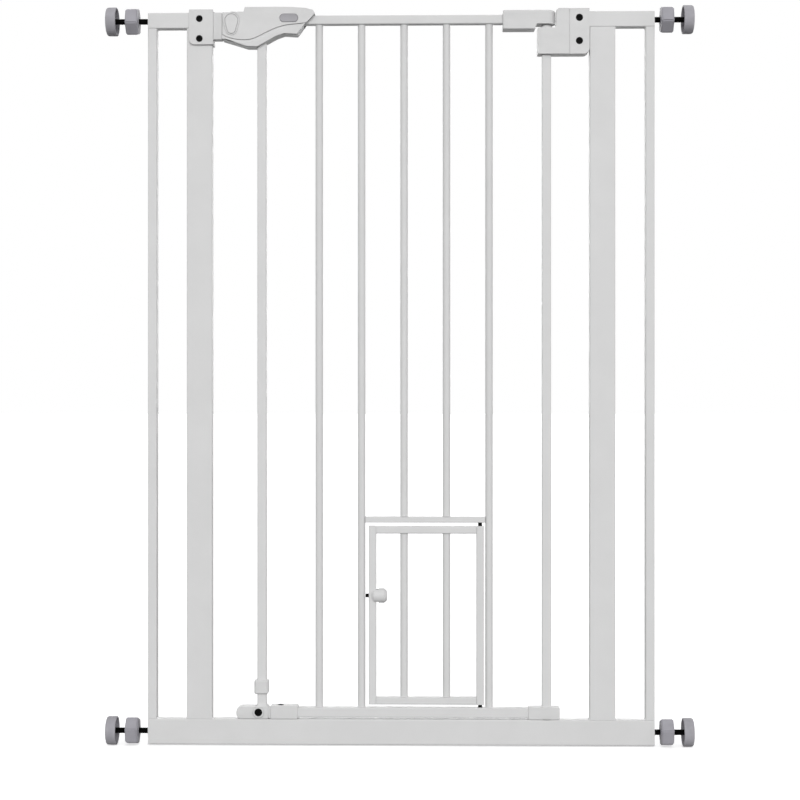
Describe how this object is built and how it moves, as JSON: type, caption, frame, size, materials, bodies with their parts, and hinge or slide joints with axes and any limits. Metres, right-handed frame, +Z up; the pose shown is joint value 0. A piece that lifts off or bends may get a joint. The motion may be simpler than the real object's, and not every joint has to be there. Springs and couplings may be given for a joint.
{
  "type": "pet gate",
  "caption": "White metal gate pressed between two walls, with a lift-lever latch, a swinging door and a small pet door low in it.",
  "frame": {"origin": "midway between the walls, in the gate's middle plane, level with the lowest point of the wall cups", "axes": "+X along the gate towards its hinge side, +Y through the doorway away from the front, +Z up"},
  "size_m": [0.7814, 0.038, 0.9855],
  "materials": {
    "painted_steel": "white powder coat, satin",
    "white_plastic": "white moulded plastic, fine matt",
    "inner_plastic": "plain moulded nylon",
    "black_steel": "black oxide",
    "zinc_steel": "dull zinc plate",
    "grey_plastic": "grey moulded plastic",
    "grey_rubber": "soft grey rubber",
    "button_plastic": "lilac grey plastic"
  },
  "bodies": {
    "frame": {"bottom_rail": "painted_steel", "left_outer_post": "painted_steel", "right_outer_post": "painted_steel", "left_wide_post": "painted_steel", "right_wide_post": "painted_steel", "left_top_rail": "painted_steel", "right_top_rail": "painted_steel", "rail_end_plugs": "white_plastic", "bottom_pivot_bush": "inner_plastic", "lock_socket": "inner_plastic", "latch_bracket": "white_plastic", "bracket_screws": "black_steel", "keeper_catch": "white_plastic", "hinge_housing_front": "white_plastic", "hinge_housing_back": "white_plastic", "hinge_screws": "black_steel", "hinge_bushes": "inner_plastic", "closing_spring": "zinc_steel"},
    "door": {"right_stile": "painted_steel", "left_stile": "painted_steel", "door_top_rail": "painted_steel", "door_bottom_rail": "painted_steel", "header_bar": "painted_steel", "long_bars": "painted_steel", "short_bars": "painted_steel", "hinge_arm": "white_plastic", "top_hinge_pin": "zinc_steel", "bottom_pivot_pin": "zinc_steel", "corner_fitting": "white_plastic", "corner_sleeve": "white_plastic", "sleeve_screw": "black_steel", "lock_foot": "white_plastic", "foot_screw": "black_steel", "stile_collar": "white_plastic", "handle_front_shell": "white_plastic", "handle_back_shell": "white_plastic", "pet_hinge_pins": "black_steel"},
    "lever": {"handle_lever": "white_plastic", "lever_pivot": "white_plastic"},
    "button": {"thumb_button": "button_plastic"},
    "bolt": {"latch_bolt": "inner_plastic"},
    "lift": {"lift_rod": "zinc_steel"},
    "pet_door": {"pet_door_stiles": "painted_steel", "pet_door_rails": "painted_steel", "pet_door_bars": "painted_steel", "pet_hinge_bushes": "inner_plastic"},
    "pet_latch": {"pet_latch_pin": "zinc_steel", "pet_latch_knob": "white_plastic"},
    "left_bottom_foot": {"left_bottom_spindle": "black_steel", "left_bottom_cup": "grey_rubber"},
    "left_bottom_wheel": {"left_bottom_nut": "grey_plastic"},
    "left_top_foot": {"left_top_spindle": "black_steel", "left_top_cup": "grey_rubber"},
    "left_top_wheel": {"left_top_nut": "grey_plastic"},
    "right_bottom_foot": {"right_bottom_spindle": "black_steel", "right_bottom_cup": "grey_rubber"},
    "right_bottom_wheel": {"right_bottom_nut": "grey_plastic"},
    "right_top_foot": {"right_top_spindle": "black_steel", "right_top_cup": "grey_rubber"},
    "right_top_wheel": {"right_top_nut": "grey_plastic"}
  },
  "joints": [
    {"name": "door_swing", "type": "hinge", "parent": "frame", "child": "door", "pos_m": [0.194, 0, 0.5], "axis": [0, 0, 1], "range_deg": [-90, 90], "stiffness_Nm_per_rad": 0.4},
    {"name": "lever_lift", "type": "hinge", "parent": "door", "child": "lever", "pos_m": [-0.225, 0, 0.961], "axis": [0, -1, 0], "range_deg": [0, 20], "stiffness_Nm_per_rad": 0.6, "springref_deg": -11.46},
    {"name": "button_press", "type": "slide", "parent": "lever", "child": "button", "axis": [0, 1, 0], "range_m": [0, 0.002], "stiffness_N_per_m": 300, "springref_m": -0.001},
    {"name": "bolt_draw", "type": "slide", "parent": "door", "child": "bolt", "axis": [1, 0, 0], "range_m": [0, 0.0042]},
    {"name": "lock_lift", "type": "slide", "parent": "door", "child": "lift", "axis": [0, 0, 1], "range_m": [0, 0.0082]},
    {"name": "pet_door_swing", "type": "hinge", "parent": "door", "child": "pet_door", "pos_m": [0.1058, 0, 0.17], "axis": [0, 0, 1], "range_deg": [-100, 100]},
    {"name": "pet_latch_draw", "type": "slide", "parent": "pet_door", "child": "pet_latch", "axis": [1, 0, 0], "range_m": [-0.003, 0.0065], "stiffness_N_per_m": 150, "springref_m": -0.003},
    {"name": "left_bottom_nut_turn", "type": "hinge", "parent": "frame", "child": "left_bottom_wheel", "pos_m": [-0.355, 0, 0.019], "axis": [1, 0, 0], "range_deg": [-3600, 3600]},
    {"name": "left_bottom_spindle_travel", "type": "slide", "parent": "frame", "child": "left_bottom_foot", "axis": [-1, 0, 0], "range_m": [-0.0124, 0.0124]},
    {"name": "left_top_nut_turn", "type": "hinge", "parent": "frame", "child": "left_top_wheel", "pos_m": [-0.355, 0, 0.9665], "axis": [1, 0, 0], "range_deg": [-3600, 3600]},
    {"name": "left_top_spindle_travel", "type": "slide", "parent": "frame", "child": "left_top_foot", "axis": [-1, 0, 0], "range_m": [-0.0124, 0.0124]},
    {"name": "right_bottom_nut_turn", "type": "hinge", "parent": "frame", "child": "right_bottom_wheel", "pos_m": [0.355, 0, 0.019], "axis": [-1, 0, 0], "range_deg": [-3600, 3600]},
    {"name": "right_bottom_spindle_travel", "type": "slide", "parent": "frame", "child": "right_bottom_foot", "axis": [1, 0, 0], "range_m": [-0.0124, 0.0124]},
    {"name": "right_top_nut_turn", "type": "hinge", "parent": "frame", "child": "right_top_wheel", "pos_m": [0.355, 0, 0.9665], "axis": [-1, 0, 0], "range_deg": [-3600, 3600]},
    {"name": "right_top_spindle_travel", "type": "slide", "parent": "frame", "child": "right_top_foot", "axis": [1, 0, 0], "range_m": [-0.0124, 0.0124]}
  ],
  "couplings": [
    {"joint": "bolt_draw", "follows": "lever_lift", "m_per_rad": 0.011},
    {"joint": "lock_lift", "follows": "lever_lift", "m_per_rad": 0.0229},
    {"joint": "left_bottom_nut_turn", "follows": "left_bottom_spindle_travel", "rad_per_m": 5026.5},
    {"joint": "left_top_nut_turn", "follows": "left_top_spindle_travel", "rad_per_m": 5026.5},
    {"joint": "right_bottom_nut_turn", "follows": "right_bottom_spindle_travel", "rad_per_m": 5026.5},
    {"joint": "right_top_nut_turn", "follows": "right_top_spindle_travel", "rad_per_m": 5026.5}
  ]
}
